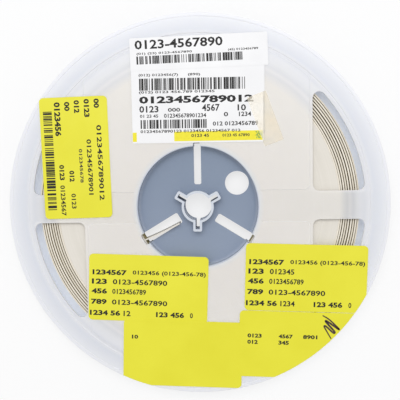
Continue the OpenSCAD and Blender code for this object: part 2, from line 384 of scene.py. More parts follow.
def bump(bench: NodeBench, height: Socket, strength: float, depth: float) -> Socket:
    """Turns a height from 0 to 1, whose real size is the depth in metres, into a normal."""
    inputs = {"Height": height, "Strength": strength, "Distance": depth}
    return bench.add("ShaderNodeBump", inputs).outputs["Normal"]


def rubbed(bench: NodeBench, scuffs: Socket, roughness: float) -> Socket:
    """Gives the roughness of moulded plastic, and a quarter more where the mask shows scuffs."""
    return bench.math("ADD", bench.math("MULTIPLY", scuffs, 0.25), roughness)


@dataclass(frozen=True)
class MilkyFlange(Finish):
    """Milky polystyrene: warm over the tight turns, greyer over the loose ones and cool past them.

    The spoke between the windows is thin and shows the loose turns more than the raised pads do.
    Walls and the pads' slopes get a pale painted highlight.
    """

    name: str = "milky_flange"
    spoke: Stops = (
        (28.5, paint(176, 186, 204)),
        (29.3, paint(220, 221, 222)),
        (31.5, paint(229, 224, 219)),
        (66.5, paint(228, 224, 218)),
        (68.5, paint(212, 211, 210)),
        (70.0, paint(204, 204, 205)),
        (71.2, paint(214, 213, 214)),
        (72.7, paint(203, 204, 208)),
        (74.5, paint(215, 216, 219)),
        (76.0, paint(217, 218, 223)),
        (78.0, paint(214, 216, 222)),
        (80.0, paint(223, 224, 229)),
        (82.0, paint(216, 219, 226)),
        (84.5, paint(219, 222, 229)),
        (87.0, paint(225, 227, 233)),
        (89.5, paint(232, 233, 239)),
    )
    pads: Stops = (
        (28.5, paint(176, 186, 204)),
        (29.3, paint(220, 221, 222)),
        (31.5, paint(229, 224, 219)),
        (66.0, paint(231, 227, 222)),
        (68.0, paint(225, 223, 222)),
        (70.0, paint(218, 218, 221)),
        (71.4, paint(227, 226, 229)),
        (72.8, paint(218, 219, 224)),
        (75.0, paint(225, 226, 230)),
        (77.5, paint(225, 226, 231)),
        (79.0, paint(217, 219, 226)),
        (80.5, paint(224, 225, 230)),
        (82.5, paint(216, 219, 227)),
        (84.5, paint(220, 222, 229)),
        (87.0, paint(225, 227, 233)),
        (89.5, paint(232, 233, 239)),
    )
    # Pale colour of the painted highlight on walls and slopes, and of the scuffs and the mottle.
    flange_highlight_and_scuff_tint: Colour = paint(240, 240, 243)
    spoke_half: float = 7.4 * MM
    under_z: float = 10.25 * MM
    plate_z: float = 11.15 * MM
    face_z: float = 11.4 * MM
    margin: float = 0.03 * MM
    soft: float = 0.6 * MM
    slope_share: float = 0.55
    mottled: float = 0.05
    scuffed: float = 0.5
    milk: float = 0.4
    milk_depth: Colour = (3.0 * MM, 3.0 * MM, 3.4 * MM)
    roughness: float = 0.38

    def edges(self, bench: NodeBench, height: Socket) -> Socket:
        """Marks walls and slopes by their height: all that is neither an inner nor an outer face.

        Args:
            bench: The material's bench.
            height: The height over the rear face.

        Returns:
            The mask: one on walls, and the slope's share on the pads' slopes.
        """
        above = bench.math("GREATER_THAN", height, self.under_z)
        low = bench.math("LESS_THAN", height, self.plate_z - self.margin)
        wall = bench.math("MULTIPLY", above, low)
        past = bench.math("GREATER_THAN", height, self.plate_z + self.margin)
        short = bench.math("LESS_THAN", height, self.face_z - self.margin)
        slope = bench.math("MULTIPLY", bench.math("MULTIPLY", past, short), self.slope_share)
        return bench.math("MAXIMUM", wall, slope)

    def shade(self, bench: NodeBench, position: Socket) -> dict:
        """Picks the plastic's colour by radius, on and off the spoke, with mottle and scuffs.

        Walls and slopes get a painted highlight in the same pale colour as the scuffs.

        Args:
            bench: The material's bench.
            position: The Object coordinates.

        Returns:
            The Principled shader's inputs.
        """
        grain = SurfaceGrain().place(bench, {"Position": position, "Coarse": 38.0, "Fine": 900.0})
        scuffs = HandlingScuffs().mask(bench, position, self.scuffed)
        radius = RadialBand().distance(bench, position)
        place = bench.add("ShaderNodeSeparateXYZ", {0: position}).outputs
        across = bench.math("ABSOLUTE", place["Y"])
        off_spoke = bench.ramp(across, self.spoke_half - self.soft, self.spoke_half + self.soft)
        spoke = bench.stops(radius, self.spoke)
        pads = bench.stops(radius, self.pads)
        body = bench.blend(off_spoke, spoke, pads)
        # Painted highlight: walls and the pads' slopes take the pale colour.
        flange_edge_highlighted = bench.blend(self.edges(bench, place["Z"]), body, self.flange_highlight_and_scuff_tint)
        mottle = bench.math("MULTIPLY", grain["Tone"], self.mottled)
        marks = bench.math("MAXIMUM", scuffs, mottle)
        return {
            "Base Color": bench.blend(marks, flange_edge_highlighted, self.flange_highlight_and_scuff_tint),
            "Roughness": rubbed(bench, scuffs, self.roughness),
            "IOR": 1.55,
            "Subsurface Weight": self.milk,
            "Subsurface Radius": self.milk_depth,
            "Subsurface Scale": 1.0,
            "Normal": bump(bench, grain["Height"], 0.08, 0.05 * MM),
        }


@dataclass(frozen=True)
class MilkyHub(Finish):
    """The rear moulding: blue-grey web and walls, a pale collar's end and a pale flange."""

    name: str = "milky_hub"
    web: Colour = paint(147, 159, 180)
    # Darker web tone for its +Y side: painted shade of the barrel's upper wall.
    web_painted_shade: Colour = paint(119, 134, 156)
    web_mottle: Colour = paint(134, 148, 168)
    # Paler web tone near the barrel wall: painted light that lifts the wall's shade.
    web_painted_light: Colour = paint(182, 191, 206)
    # Paler colour of the web's cut edges and the collar's wall: a painted highlight.
    walls: Colour = paint(168, 178, 194)
    rims: Colour = paint(206, 212, 222)
    flange: Colour = paint(240, 243, 249)
    # Tint of a painted glow that lifts the shaded gap between the flanges.
    painted_glow_tint: Colour = paint(206, 222, 252)
    collar_r: float = 12.5 * MM
    hem_r: float = 28.2 * MM
    web_r: float = 29.3 * MM
    web_top: float = 6.25 * MM
    web_bottom: float = 5.15 * MM
    face_z: float = 11.3 * MM
    rear_z: float = 0.1 * MM
    margin: float = 0.1 * MM
    hem_soft: float = 1.7 * MM
    web_soft: float = 0.3 * MM
    mottled: float = 0.35
    scuffed: float = 0.35
    # Strength of that painted glow.
    glow: float = 0.16
    milk: float = 0.1
    milk_depth: Colour = (2.0 * MM, 2.0 * MM, 2.5 * MM)
    roughness: float = 0.36

    def edge_highlight_mask(self, bench: NodeBench, height: Socket, radius: Socket) -> Socket:
        """Marks the web's cut edges, between its faces, and the collar's wall above the web.

        Args:
            bench: The material's bench.
            height: The height over the rear face.
            radius: The distance from the axis.

        Returns:
            The painted highlight's mask, one on edges and walls.
        """
        under_top = bench.math("LESS_THAN", height, self.web_top)
        over_bottom = bench.math("GREATER_THAN", height, self.web_bottom)
        edge = bench.math("MULTIPLY", under_top, over_bottom)
        past_web = bench.math("GREATER_THAN", height, self.web_top + self.margin)
        near = bench.math("LESS_THAN", radius, self.collar_r)
        return bench.math("MAXIMUM", edge, bench.math("MULTIPLY", near, past_web))

    def shade(self, bench: NodeBench, position: Socket) -> dict:
        """Tells the web, the walls, the collar's ends and the flange apart by radius and height.

        The web is painted paler towards the wall round it, a painted light that lifts the shade
        there, and darker on its +Y side, a painted shade of the barrel's upper wall. The flange
        glows a little, a painted light that lifts the shaded gap between the flanges.

        Args:
            bench: The material's bench.
            position: The Object coordinates.

        Returns:
            The Principled shader's inputs.
        """
        grain = SurfaceGrain().place(bench, {"Position": position, "Coarse": 45.0, "Fine": 900.0})
        scuffs = HandlingScuffs().mask(bench, position, self.scuffed)
        outside = RadialBand().step(bench, position, self.web_r, self.web_soft)
        # Painted light: the web pales towards the barrel wall round it.
        wall_light_mask = RadialBand().step(bench, position, self.hem_r, self.hem_soft)
        radius = RadialBand().distance(bench, position)
        axes = bench.add("ShaderNodeSeparateXYZ", {0: position}).outputs
        # Painted shade: the web darkens towards +Y, as under the barrel's upper wall.
        far = bench.math("MULTIPLY_ADD", axes["Y"], 0.5 / self.web_r, 0.5, clamp=True)
        above = bench.math("GREATER_THAN", axes["Z"], self.face_z)
        below = bench.math("LESS_THAN", axes["Z"], self.rear_z)
        plain = bench.blend(far, self.web, self.web_painted_shade)
        tone = bench.math("MULTIPLY", grain["Tone"], self.mottled)
        web = bench.blend(wall_light_mask, bench.blend(tone, plain, self.web_mottle), self.web_painted_light)
        hub_edge_highlighted = bench.blend(self.edge_highlight_mask(bench, axes["Z"], radius), web, self.walls)
        inner = bench.blend(bench.math("MAXIMUM", above, below), hub_edge_highlighted, self.rims)
        return {
            "Base Color": bench.blend(outside, inner, self.flange),
            "Roughness": rubbed(bench, scuffs, self.roughness),
            "IOR": 1.55,
            "Subsurface Weight": self.milk,
            "Subsurface Radius": self.milk_depth,
            "Subsurface Scale": 1.0,
            # Painted light: the flange past the web glows a little.
            "Emission Color": bench.blend(outside, (0.0, 0.0, 0.0), self.painted_glow_tint),
            "Emission Strength": self.glow,
            "Normal": bump(bench, grain["Height"], 0.08, 0.05 * MM),
        }


@dataclass(frozen=True)
class CardTape(Finish):
    """Cream card, each turn a little different: pale cut edges, sides in painted olive-grey shade.
    """

    name: str = "card_tape"
    edge: Colour = paint(246, 239, 226)
    edge_dark: Colour = paint(214, 205, 186)
    tight: Colour = paint(229, 224, 215)
    tight_dark: Colour = paint(222, 217, 207)
    # Olive-grey of the tape's sides below the cut edge: painted shade in the gaps between turns.
    face: Colour = paint(184, 171, 126)
    turn: float = 0.65 * MM
    edge_z: float = 8.7 * MM
    hub_r: float = 29.0 * MM
    tight_r: float = 66.8 * MM
    soft: float = 0.1 * MM
    by_turn: float = 0.6
    by_fibre: float = 0.3
    roughness: float = 0.85

    def shade(self, bench: NodeBench, position: Socket) -> dict:
        """Gives each turn its own tone from its number, and darkens what lies below the cut edge.

        A turn's number is its distance from the axis over the tape's thickness, rounded down. The
        darkening below the cut edge is painted shade in the gaps between the wound turns.

        Args:
            bench: The material's bench.
            position: The Object coordinates.

        Returns:
            The Principled shader's inputs.
        """
        grain = SurfaceGrain().place(bench, {"Position": position, "Coarse": 160.0, "Fine": 3500.0})
        radius = RadialBand().distance(bench, position)
        number = bench.math("FLOOR", bench.math("DIVIDE", radius, self.turn))
        tone = bench.add("ShaderNodeTexWhiteNoise", {"W": number}, noise_dimensions="1D")
        share = bench.math("MULTIPLY", tone.outputs["Value"], self.by_turn)
        fibre = bench.math("MULTIPLY", grain["Tone"], self.by_fibre)
        both = bench.math("ADD", share, fibre)
        tight = bench.blend(both, self.tight, self.tight_dark)
        edge = bench.blend(both, self.edge, self.edge_dark)
        loose = RadialBand().step(bench, position, self.tight_r, self.soft)
        height = bench.add("ShaderNodeSeparateXYZ", {0: position}).outputs["Z"]
        # Painted shade: tape below the cut edge, out past the hub, takes the olive-grey.
        below = bench.math("LESS_THAN", height, self.edge_z)
        wound = RadialBand().step(bench, position, self.hub_r, self.soft)
        shaded = bench.math("MULTIPLY", below, wound)
        return {
            "Base Color": bench.blend(shaded, bench.blend(loose, tight, edge), self.face),
            "Roughness": self.roughness,
            "Normal": bump(bench, grain["Height"], 0.35, 0.05 * MM),
        }


@dataclass(frozen=True)
class LabelStock(Finish):
    """Coated label paper with a faint fibre and handling marks."""

    name: str = "label_stock"
    sheet: Colour = paint(244, 244, 245)
    shade_of_sheet: Colour = paint(236, 236, 238)
    roughness: float = 0.42
    rub: float = 0.12

    def shade(self, bench: NodeBench, position: Socket) -> dict:
        """Mixes the two tones by a soft noise and keeps a fine paper height.

        Args:
            bench: The material's bench.
            position: The Object coordinates.

        Returns:
            The Principled shader's inputs.
        """
        grain = SurfaceGrain().place(bench, {"Position": position, "Coarse": 50.0, "Fine": 2600.0})
        handled = bench.ramp(bench.noise(position, 120.0, 4.0), 0.45, 0.75)
        dulled = bench.math("MULTIPLY", handled, self.rub)
        return {
            "Base Color": bench.blend(grain["Tone"], self.sheet, self.shade_of_sheet),
            "Roughness": bench.math("ADD", dulled, self.roughness),
            "Normal": bump(bench, grain["Height"], 0.15, 0.03 * MM),
        }


@dataclass(frozen=True)
class PrintedInk(Finish):
    """Ink or thermal print, slightly uneven as a worn print head leaves it."""

    name: str = "black_print"
    full: Colour = paint(10, 10, 10)
    thin: Colour = paint(32, 31, 30)
    roughness: float = 0.65

    def shade(self, bench: NodeBench, position: Socket) -> dict:
        """Mixes full and thin ink by a fine noise.

        Args:
            bench: The material's bench.
            position: The Object coordinates.

        Returns:
            The Principled shader's inputs.
        """
        uneven = bench.ramp(bench.noise(position, 900.0, 3.0), 0.4, 0.7)
        ink = bench.blend(uneven, self.full, self.thin)
        return {"Base Color": ink, "Roughness": self.roughness}


@dataclass(frozen=True)
class ClearFilm(Finish):
    """Thin clear film that lets what is under it show and casts no shadow on it."""

    name: str = "clear_film"
    tint: Colour = paint(226, 230, 234)
    stain: Colour = paint(214, 220, 226)
    cover: float = 0.22
    roughness: float = 0.2

    def shade(self, bench: NodeBench, position: Socket) -> dict:
        """Lets the film's cover and tint vary a little with a coarse noise.

        Args:
            bench: The material's bench.
            position: The Object coordinates.

        Returns:
            The Principled shader's inputs.
        """
        patch = bench.ramp(bench.noise(position, 90.0, 3.0), 0.35, 0.7)
        stained = bench.math("MULTIPLY", patch, 0.3 * self.cover)
        alpha = bench.math("ADD", stained, 0.8 * self.cover)
        shadow = bench.add("ShaderNodeLightPath").outputs["Is Shadow Ray"]
        clear = bench.math("MULTIPLY", alpha, bench.math("SUBTRACT", 1.0, shadow))
        return {
            "Base Color": bench.blend(patch, self.tint, self.stain),
            "Roughness": self.roughness,
            "Alpha": clear,
        }


@dataclass(frozen=True)
class ChipCeramic(Finish):
    """A chip resistor: black glaze in the middle of its length and tinned ends."""

    name: str = "chip_ceramic"
    glaze: Colour = paint(34, 34, 37)
    tin: Colour = paint(188, 186, 180)
    middle_z: float = 3.95 * MM
    end_from: float = 0.52 * MM
    glaze_rough: float = 0.25
    tin_rough: float = 0.35

    def shade(self, bench: NodeBench, position: Socket) -> dict:
        """Marks the ends by their height from the pocket's middle.

        Args:
            bench: The material's bench.
            position: The Object coordinates.

        Returns:
            The Principled shader's inputs.
        """
        height = bench.add("ShaderNodeSeparateXYZ", {0: position}).outputs["Z"]
        away = bench.math("ABSOLUTE", bench.math("SUBTRACT", height, self.middle_z))
        end = bench.math("GREATER_THAN", away, self.end_from)
        duller = bench.math("MULTIPLY", end, self.tin_rough - self.glaze_rough)
        return {
            "Base Color": bench.blend(end, self.glaze, self.tin),
            "Metallic": end,
            "Roughness": bench.math("ADD", duller, self.glaze_rough),
        }


WHITE_STOCK = LabelStock()
YELLOW_STOCK = LabelStock("yellow_stock", paint(234, 229, 52), paint(228, 222, 42), 0.45)
BLACK_PRINT = PrintedInk()
GREY_PRINT = PrintedInk("grey_print", paint(34, 33, 32), paint(66, 64, 62))
YELLOW_PRINT = PrintedInk("yellow_print", paint(240, 228, 30), paint(234, 221, 22), 0.42)
GREEN_PRINT = PrintedInk("green_print", paint(120, 160, 70), paint(140, 172, 84), 0.42)
PEN_INK = PrintedInk("pen_ink", paint(62, 46, 40), paint(88, 68, 56), 0.4)
AGED_FILM = ClearFilm("aged_film", paint(254, 249, 234), paint(251, 241, 220), 0.45, 0.3)


# ---- Mesh building ---------------------------------------------------------


class MeshParts:
    """Gathers arrays of points and faces, and makes one mesh of them."""

    def __init__(self) -> None:
        """Starts with nothing in it."""
        self.points: list[Points] = []
        self.faces: list[Faces] = []
        self.count = 0

    def add(self, points: Points, *faces: Faces) -> None:
        """Adds points and the faces that use them.

        Args:
            points: An n by 3 array.
            *faces: Arrays of corner numbers into these points, one row for a face.
        """
        for block in faces:
            if len(block):
                self.faces.append(np.asarray(block, np.int64) + self.count)
        self.points.append(np.asarray(points, float))
        self.count += len(points)

    def object(self, name: str, smooth_angle: float | None = None) -> bpy.types.Object:
        """Makes the mesh and its object, with doubled points merged.

        Args:
            name: The piece's name.
            smooth_angle: Edges flatter than this many degrees are shaded smooth, or None for flat.

        Returns:
            The new object, linked into the scene and sitting at the origin.
        """
        mesh = bpy.data.meshes.new(name)
        faces = [tuple(row) for block in self.faces for row in block.tolist()]
        mesh.from_pydata(np.vstack(self.points), [], faces)
        piece = scene_object(name, mesh)
        merge_doubles(mesh)
        if smooth_angle is not None:
            mesh.shade_smooth()
            mesh.set_sharp_from_angle(angle=math.radians(smooth_angle))
        return piece


def merge_doubles(mesh: bpy.types.Mesh, distance: float = 1e-7) -> None:
    """Merges points that share a place, and leaves the faces as they point.

    Args:
        mesh: The mesh to mend.
        distance: Points closer than this are one.
    """
    work = bmesh.new()
    work.from_mesh(mesh)
    bmesh.ops.remove_doubles(work, verts=work.verts, dist=distance)
    work.to_mesh(mesh)
    work.free()
    mesh.validate()


def boxes(low: Points, high: Points) -> tuple[Points, Faces]:
    """Gives many upright boxes at once.

    Each box has the eight points low + corner * (high - low) for every corner of the unit cube.

    Args:
        low: An n by 3 array of lowest corners.
        high: An n by 3 array of highest corners.

    Returns:
        The points, and six outward quads for each box.
    """
    corners = np.array([[x, y, z] for z in (0, 1) for y in (0, 1) for x in (0, 1)], float)
    points = low[:, None, :] + corners[None] * (high - low)[:, None, :]
    floor_and_roof, sides = [[0, 2, 3, 1], [4, 5, 7, 6]], [[0, 1, 5, 4], [1, 3, 7, 5]]
    quads = np.array([*floor_and_roof, *sides, [3, 2, 6, 7], [2, 0, 4, 6]])
    faces = quads[None] + 8 * np.arange(len(low))[:, None, None]
    return points.reshape(-1, 3), faces.reshape(-1, 4)


def turned(points: Points, degrees: float, centre: Plan) -> Points:
    """Turns points about Z by an angle, then moves them to a centre in plan.

    Args:
        points: An n by 3 array round the origin.
        degrees: The angle, anticlockwise from above.
        centre: Where the origin goes in X and Y.

    Returns:
        The moved points.
    """
    angle = math.radians(degrees)
    out = points.copy()
    out[:, 0] = centre[0] + points[:, 0] * math.cos(angle) - points[:, 1] * math.sin(angle)
    out[:, 1] = centre[1] + points[:, 0] * math.sin(angle) + points[:, 1] * math.cos(angle)
    return out


def round_axis(radius: Points, angle: Points, height: Points) -> Points:
    """Gives the points of a grid from their radii, angles in radians and heights, row by row."""
    grid = np.stack([radius * np.cos(angle), radius * np.sin(angle), height], axis=-1)
    return grid.reshape(-1, 3)


def grid_faces(
    rows: int, columns: int, ring_rows: bool = False, ring_columns: bool = False
) -> Faces:
    """Gives the quads of a grid of rows by columns points, counted row by row.

    Args:
        rows: How many rows of points.
        columns: How many points in a row.
        ring_rows: Whether the last row joins the first.
        ring_columns: Whether each row's last point joins its first.

    Returns:
        The corner numbers, one row for a quad.
    """
    row = np.arange(rows if ring_rows else rows - 1)
    column = np.arange(columns if ring_columns else columns - 1)
    r, c = (block.ravel() for block in np.meshgrid(row, column, indexing="ij"))
    r_next, c_next = (r + 1) % rows, (c + 1) % columns
    near = [r * columns + c, r * columns + c_next]
    far = [r_next * columns + c_next, r_next * columns + c]
    return np.stack(near + far, axis=1)


def band(ring: Points, low: float, high: float) -> tuple[Points, list[Faces]]:
    """Gives an upright band: a four cornered section carried along a path, closed at both ends.

    Args:
        ring: The section's corners in plan at each step, two at the foot and two at the top.
        low: The foot's height.
        high: The top's height.

    Returns:
        The points, and the faces of the sides and of the two ends.
    """
    height = np.broadcast_to([low, low, high, high], ring.shape[:2])
    points = np.concatenate([ring, height[..., None]], axis=-1).reshape(-1, 3)
    last = 4 * (len(ring) - 1)
    caps = np.array([[3, 2, 1, 0], [last, last + 1, last + 2, last + 3]])
    sides = grid_faces(len(ring), 4, ring_columns=True)
    return points, [sides[:, ::-1], caps[:, ::-1]]


# ---- The wound tape --------------------------------------------------------


@dataclass
class PunchedCell:
    """One pitch of carrier tape laid flat: s runs along the tape and z across it.

    A grid of quads covers the cell, a twelve sided ring stands in for it round the sprocket hole,
    and the quad pair over the pocket is left out where there is one.
    """

    pitch: float = 4.0 * MM
    width: float = 8.0 * MM
    hole_r: float = 0.75 * MM
    hole_z: float = 6.25 * MM
    pocket_z: float = 2.75 * MM
    pocket_w: float = 1.1 * MM
    pocket_l: float = 1.9 * MM
    ring_half: float = 1.0 * MM
    with_pocket: bool = True

    def lines(self) -> tuple[Points, Points]:
        """Gives the grid's lines.

        Returns:
            Their places along the tape, and their places across it.
        """
        along = [-self.pitch / 2, -self.pocket_w / 2, 0.0, self.pocket_w / 2, self.pitch / 2]
        pocket = [self.pocket_z - self.pocket_l / 2, self.pocket_z + self.pocket_l / 2]
        hole = [self.hole_z - self.ring_half, self.hole_z, self.hole_z + self.ring_half]
        return np.array(along), np.array([0.0, *pocket, *hole, self.width])

    def build(self) -> tuple[Points, Faces, Faces]:
        """Works the cell out.

        Returns:
            The flat points (s, z), the quads of one side, and the rim edges that walls stand on.
        """
        along, across = self.lines()
        s, z = (block.ravel() for block in np.meshgrid(along, across))
        points = np.stack([s, z], axis=1)
        columns = len(along)
        quads = grid_faces(len(across), columns)
        row, column = quads[:, 0] // columns, quads[:, 0] % columns
        over_hole = (row >= 3) & (row < 5)
        over_pocket = (row == 1) & (column >= 1) & (column < 3) & self.with_pocket
        quads = quads[~(over_hole | over_pocket)]
        foot, top = [(3, c) for c in (4, 3, 2, 1, 0)], [(5, c) for c in range(5)]
        rim = [*foot, (4, 0), *top, (4, 4)]
        outer = np.array([r * columns + c for r, c in rim])
        inner = len(points) + np.arange(len(rim))
        turn = -2.0 * np.pi * (1 + np.arange(len(rim))) / len(rim)
        circle = self.hole_r * np.stack([np.cos(turn), np.sin(turn)], axis=1) + [0.0, self.hole_z]
        points = np.vstack([points, circle])
        ring = np.stack([outer, np.roll(outer, -1), np.roll(inner, -1), inner], axis=1)
        used = self.anticlockwise(points, np.vstack([quads, ring]))
        return points, used, self.free_edges(used, points)

    @staticmethod
    def anticlockwise(points: Points, quads: Faces) -> Faces:
        """Turns round each quad that runs clockwise on the flat cell.

        Args:
            points: The flat points.
            quads: Their quads.

        Returns:
            The quads, all anticlockwise.
        """
        corners = points[quads]
        x, y = corners[..., 0], corners[..., 1]
        area = (x * np.roll(y, -1, axis=1) - np.roll(x, -1, axis=1) * y).sum(axis=1)
        return np.where(area[:, None] < 0, quads[:, ::-1], quads)

    def free_edges(self, quads: Faces, points: Points) -> Faces:
        """Gives the edges of one quad only, apart from those on the joints to the next cells.

        Args:
            quads: The cell's quads.
            points: The flat points.

        Returns:
            The edges as pairs of point numbers.
        """
        edges = np.concatenate([quads[:, [i, (i + 1) % 4]] for i in range(4)])
        ordered = np.sort(edges, axis=1)
        _, first, count = np.unique(ordered, axis=0, return_index=True, return_counts=True)
        free = edges[first[count == 1]]
        ends = np.abs(points[free][..., 0])
        on_joint = (ends > self.pitch / 2 - 1e-9).all(axis=1)
        same_side = np.sign(points[free][:, 0, 0]) == np.sign(points[free][:, 1, 0])
        return free[~(on_joint & same_side)]


@dataclass
class WoundTape:
    """Paper tape on its barrel: tight turns, looser outer turns, and the inner end in the hub.

    A loose turn's outer radius grows evenly with the wound angle, by the tape and the gap under it:
    radius = tight radius + tape + sum of earlier (tape + gap) + share of this turn * (tape + gap).
    """

    barrel_r: float = 30.0 * MM
    tight_r: float = 67.0 * MM
    paper: float = 0.65 * MM
    gaps: tuple[float, ...] = (0.35, 0.5, 0.4, 0.55, 0.6, 0.4, 0.4, 0.3)
    bottom: float = 1.2 * MM
    width: float = 8.0 * MM
    start_angle: float = 250.0
    clear_ends: float = 3.0
    pitch: float = 4.0 * MM
    groove: float = 0.02 * MM
    uneven: float = 0.02 * MM
    sunk: float = 0.35 * MM
    seed: int = 8
    cells_from: float = -200.0
    plain_step: float = 3.0
    grooved_from: float = 50.0 * MM
    flank: float = 0.3
    round_steps: int = 240
    feed_angle: float = 212.0
    tail_foot: Plan = (30.325 * MM, 0.3 * MM)
    tail_tip: Plan = (11.8 * MM, 2.325 * MM)
    tail_bow: float = -0.25 * MM
    tail_steps: int = 13
    finish: Finish = CardTape()

    def __post_init__(self) -> None:
        """Works out where each loose turn begins."""
        steps = self.paper + np.array(self.gaps) * MM
        self.turn_start = self.tight_r + self.paper + np.concatenate([[0.0], np.cumsum(steps)])
        self.wound = 360.0 * len(self.gaps)

    def outer_radius(self, wound: Points) -> Points:
        """Gives the tape's outer radius.

        Args:
            wound: Wound angles in degrees, from -360 to the tape's end.

        Returns:
            The radius at each.
        """
        turns = np.asarray(wound, float) / 360.0
        whole = np.arange(len(self.turn_start), dtype=float)
        loose = np.interp(turns, whole, self.turn_start)
        return np.where(turns < 0, self.tight_r + self.paper * (turns + 1.0), loose)

    def lift(self, wound: Points) -> Points:
        """Gives how far the tape's upper edge sits low, changing evenly between drawn heights.

        Args:
            wound: Wound angles in degrees.

        Returns:
            The height to add at each, never above zero.
        """
        rng = np.random.default_rng(self.seed)
        knots = np.linspace(-360.0, self.wound, 3 * len(self.gaps) + 4)
        heights = -rng.uniform(0.0, 1.0, len(knots)) * self.sunk
        return np.interp(wound, knots, heights)

    def cell_angles(self, pitch: float) -> tuple[Points, Points]:
        """Gives the wound angles of the outermost turn's cells, and of all the cells under it.

        Args:
            pitch: The tape's hole pitch.

        Returns:
            Two arrays of edges, each one longer than its count of cells.
        """
        last_r = float(self.outer_radius(np.array(self.wound - 180.0)))
        step = math.degrees(pitch / last_r)
        count = int((360.0 - 2.0 * self.clear_ends) // step)
        first = self.wound - self.clear_ends + step / 2
        outer = first - step * np.arange(count + 1)
        inner = [float(outer[-1])]
        while inner[-1] > self.cells_from:
            radius = float(self.outer_radius(np.array(inner[-1])))
            inner.append(inner[-1] - math.degrees(pitch / radius))
        return outer, np.array(inner)

    def carry(self, s_share: Points, z: Points, depth: Points, edges: Points) -> Points:
        """Carries flat cell points on to the spiral.

        A point's wound angle is its cell's first edge less its share of the cell, its radius is the
        outer radius there less its depth, and its height is the tape's lower edge plus z.

        Args:
            s_share: Each point's share along its cell, from 0 to 1.
            z: Each point's place across the tape.
            depth: Each point's depth under the tape's outer face.
            edges: The wound angles of the cells' edges.

        Returns:
            All cells' points, cell after cell.
        """
        start, end = edges[:-1, None], edges[1:, None]
        wound = start + (end - start) * s_share[None]
        radius = self.outer_radius(wound) - depth[None]
        angle = np.radians(self.start_angle - wound)
        height = self.bottom + z[None] + self.lift(wound) * (z[None] / self.width)
        return round_axis(radius, angle, height)

    def add_cells(self, parts: MeshParts, cell: PunchedCell, edges: Points) -> None:
        """Adds punched cells along a stretch of the spiral, with their walls.

        Args:
            parts: Where they go.
            cell: The flat cell.
            edges: The wound angles of the cells' edges.
        """
        flat, quads, rim = cell.build()
        share = flat[:, 0] / cell.pitch + 0.5
        count = len(flat)
        points = self.carry(
            np.tile(share, 2),
            np.tile(flat[:, 1], 2),
            np.repeat([0.0, self.paper], count),
            edges,
        )
        offsets = 2 * count * np.arange(len(edges) - 1)[:, None, None]
        walls = np.stack([rim[:, 1], rim[:, 0], rim[:, 0] + count, rim[:, 1] + count], axis=1)
        faces = np.vstack([quads, quads[:, ::-1] + count, walls])
        parts.add(points, (faces[None] + offsets).reshape(-1, 4))

    def add_plain(self, parts: MeshParts, start: float, end: float) -> None:
        """Adds a plain stretch of the spiral: the tape's section carried along, closed at its end.

        Args:
            parts: Where it goes.
            start: The wound angle where it joins the cells.
            end: The wound angle where the tape ends.
        """
        steps = max(2, int((end - start) / self.plain_step) + 1)
        across = PunchedCell().lines()[1]
        section = np.concatenate([
            np.stack([np.zeros(len(across)), across], axis=1),
            np.stack([np.full(len(across), self.paper), across[::-1]], axis=1),
        ])
        wound = np.linspace(start, end, steps)
        radius = self.outer_radius(wound)[:, None] - section[None, :, 0]
        angle = np.radians(self.start_angle - wound)[:, None]
        lift = self.lift(wound)[:, None] * (section[None, :, 1] / self.width)
        height = self.bottom + section[None, :, 1] + lift
        points = round_axis(radius, angle, height)
        count = len(section)
        side = np.arange(len(across) - 1)
        cap = np.stack([side, side + 1, count - 2 - side, count - 1 - side], axis=1)
        sides = grid_faces(steps, count, ring_columns=True)
        parts.add(points, sides, cap + count * (steps - 1))

    def add_tight_turns(self, parts: MeshParts) -> None:
        """Adds the tight turns: a grooved profile carried round the axis.

        Args:
            parts: Where they go.
        """
        rng = np.random.default_rng(self.seed + 1)
        top = self.bottom + self.width
        shown = int((self.tight_r - self.grooved_from) / self.paper)
        number = np.arange(shown)
        high = top + rng.uniform(-0.5, 0.5, shown) * self.uneven
        outer = self.tight_r - number * self.paper
        inner = outer - self.paper
        flank = self.flank * self.paper
        r = np.stack([outer, outer - flank, inner + flank, inner], axis=1)
        groove = np.full(shown, top - self.groove)
        z = np.stack([groove, high, high, groove], axis=1)
        keep = np.ones((shown, 4), bool)
        keep[1:, 0] = False
        radii = np.concatenate([[self.barrel_r, self.tight_r], r[keep], [self.barrel_r]])
        heights = np.concatenate([[self.bottom, self.bottom], z[keep], [top - self.groove]])
        steps = self.round_steps
        angle = 2.0 * np.pi * np.arange(steps)[:, None] / steps
        level = np.broadcast_to(heights, (steps, len(heights)))
        faces = grid_faces(steps, len(radii), ring_rows=True, ring_columns=True)
        parts.add(round_axis(radii, angle, level), faces[:, ::-1])

    def add_tail(self, parts: MeshParts) -> None:
        """Adds the inner end: a strip from the first turn through the wide slot.

        Its middle line leaves the straight run by the bow times sin(pi * share of the run).

        Args:
            parts: Where it goes.
        """
        foot, tip = np.array(self.tail_foot), np.array(self.tail_tip)
        run = tip - foot
        side = np.array([-run[1], run[0]]) / np.linalg.norm(run)
        share = np.linspace(0.0, 1.0, self.tail_steps)[:, None]
        bow = self.tail_bow * np.sin(np.pi * share)
        middle = foot + run * share + side * bow
        half = side * self.paper / 2
        ring = np.stack([middle - half, middle + half, middle + half, middle - half], axis=1)
        points, faces = band(ring, self.bottom, self.bottom + self.width)
        parts.add(turned(points, self.feed_angle, (0.0, 0.0)), *faces)

